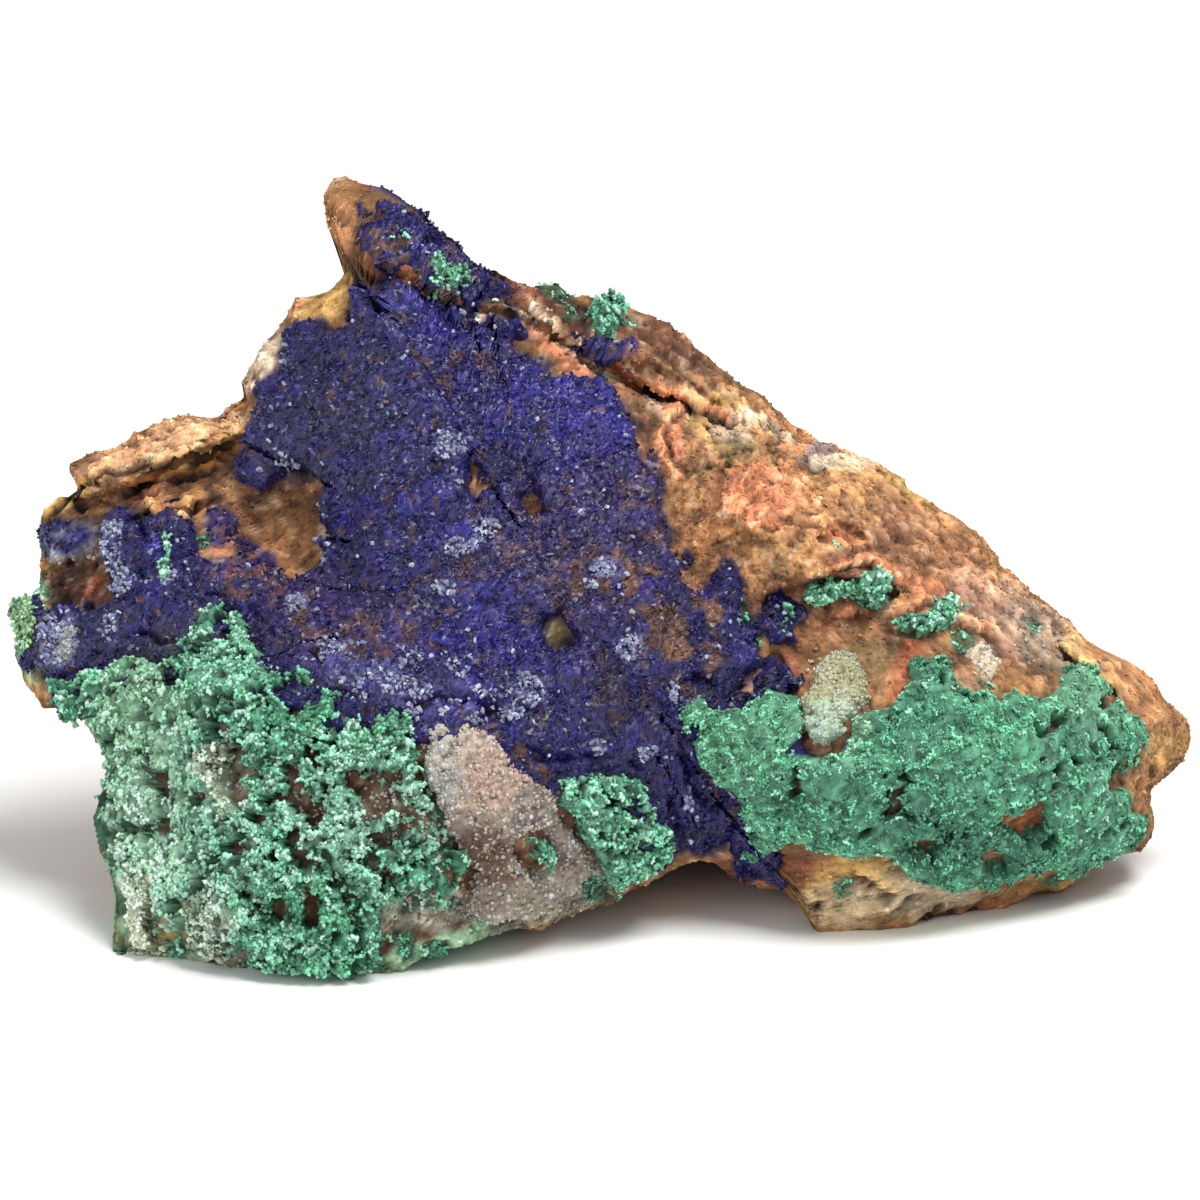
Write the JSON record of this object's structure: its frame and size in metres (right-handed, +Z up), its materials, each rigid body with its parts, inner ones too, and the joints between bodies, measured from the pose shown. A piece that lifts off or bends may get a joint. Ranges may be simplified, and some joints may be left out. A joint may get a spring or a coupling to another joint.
{
  "type": "azurite specimen",
  "caption": "Mineral specimen: a broken lump of ochre rock standing on its underside, its leaning face crusted with blue azurite and green malachite.",
  "frame": {"origin": "on the surface it stands on, under the middle of its box", "axes": "+Z up, +X to the right along the lump's length as seen from its crystal face, -Y out of that face, which leans back about 20 degrees"},
  "size_m": [0.08, 0.0388, 0.0458],
  "materials": {
    "limonite_rock": "rough, earthy broken rock stained ochre, tan and brown",
    "azurite": "fine sparkling druse of deep blue crystals",
    "malachite": "velvety to granular green crust",
    "pale_druse": "fine sugary grey-white crystals"
  },
  "bodies": {
    "root": {"host_rock": "limonite_rock", "azurite_face_crust": "azurite", "azurite_ridge_crust": "azurite", "azurite_low_lobe": "azurite", "malachite_left_crust": "malachite", "malachite_middle_crust": "malachite", "malachite_right_crust": "malachite", "malachite_edge_crust": "malachite", "malachite_streak": "malachite", "malachite_peak_tuft": "malachite", "malachite_ridge_tuft": "malachite", "malachite_crest_tuft": "malachite", "malachite_brow_tuft": "malachite", "malachite_slope_tuft": "malachite", "malachite_hollow_tuft": "malachite", "malachite_front_tuft": "malachite", "pale_front_druse": "pale_druse", "pale_left_druse": "pale_druse", "pale_right_druse": "pale_druse", "pale_slope_crystal": "pale_druse"}
  },
  "joints": []
}
